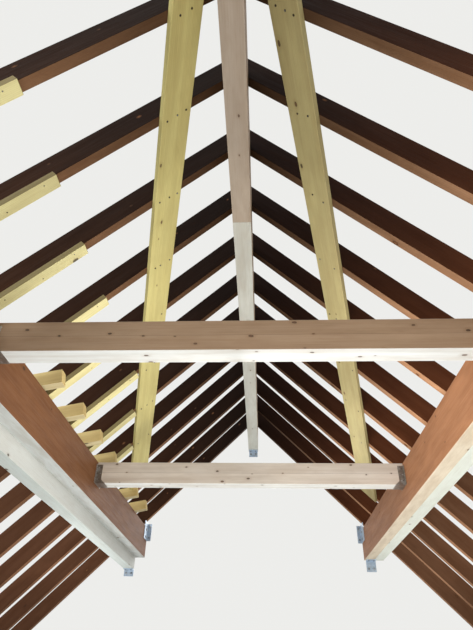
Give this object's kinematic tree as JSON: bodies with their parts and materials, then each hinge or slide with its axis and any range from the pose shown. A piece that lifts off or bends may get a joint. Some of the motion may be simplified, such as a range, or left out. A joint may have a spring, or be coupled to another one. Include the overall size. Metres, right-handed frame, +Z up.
{
  "type": "timber roof frame",
  "caption": "Pitched timber roof frame: rafter pairs on a ridge beam and doubled purlins, with tie beams in steel hangers and flat diagonal braces.",
  "frame": {"origin": "on the floor under the middle of the ridge beam, at the height of the rafters' level foot cuts", "axes": "+X across the roof to the right slope, +Y along the ridge towards the gable end with the steel angles, +Z up"},
  "size_m": [5.9396, 5.7, 2.9698],
  "materials": {
    "rafter_timber": "sawn timber, brown",
    "ridge_timber": "planed laminated timber, pale grey brown",
    "purlin_timber": "planed timber, warm brown",
    "tie_timber": "planed laminated timber, light brown",
    "brace_timber": "treated board, yellow green",
    "batten_timber": "planed softwood, pale yellow",
    "joist_timber": "planed softwood, golden",
    "hanger_steel": "galvanised sheet steel, dull",
    "bracket_steel": "zinc plated steel"
  },
  "bodies": {
    "root": {"rafter_left_01": "rafter_timber", "rafter_left_02": "rafter_timber", "rafter_left_03": "rafter_timber", "rafter_left_04": "rafter_timber", "rafter_left_05": "rafter_timber", "rafter_left_06": "rafter_timber", "rafter_left_07": "rafter_timber", "rafter_left_08": "rafter_timber", "rafter_left_09": "rafter_timber", "rafter_left_10": "rafter_timber", "rafter_left_11": "rafter_timber", "rafter_left_12": "rafter_timber", "rafter_left_13": "rafter_timber", "rafter_left_14": "rafter_timber", "rafter_left_15": "rafter_timber", "rafter_right_01": "rafter_timber", "rafter_right_02": "rafter_timber", "rafter_right_03": "rafter_timber", "rafter_right_04": "rafter_timber", "rafter_right_05": "rafter_timber", "rafter_right_06": "rafter_timber", "rafter_right_07": "rafter_timber", "rafter_right_08": "rafter_timber", "rafter_right_09": "rafter_timber", "rafter_right_10": "rafter_timber", "rafter_right_11": "rafter_timber", "rafter_right_12": "rafter_timber", "rafter_right_13": "rafter_timber", "rafter_right_14": "rafter_timber", "rafter_right_15": "rafter_timber", "ridge_beam_near": "ridge_timber", "ridge_beam_far": "ridge_timber", "purlin_left_inner": "purlin_timber", "purlin_left_outer": "purlin_timber", "purlin_right_inner": "purlin_timber", "purlin_right_outer": "purlin_timber", "tie_beam_near": "tie_timber", "tie_beam_far": "tie_timber", "brace_left": "brace_timber", "brace_right": "brace_timber", "packing_batten_01": "batten_timber", "packing_batten_02": "batten_timber", "packing_batten_03": "batten_timber", "packing_batten_04": "batten_timber", "packing_batten_05": "batten_timber", "packing_batten_06": "batten_timber", "packing_batten_07": "batten_timber", "packing_batten_08": "batten_timber", "joist_ends": "joist_timber", "hanger_near_left": "hanger_steel", "hanger_near_right": "hanger_steel", "hanger_far_left": "hanger_steel", "hanger_far_right": "hanger_steel", "angle_cleat_left": "bracket_steel", "angle_cleat_right": "bracket_steel", "purlin_seat_left": "bracket_steel", "purlin_seat_right": "bracket_steel", "ridge_seat": "bracket_steel"}
  },
  "joints": []
}
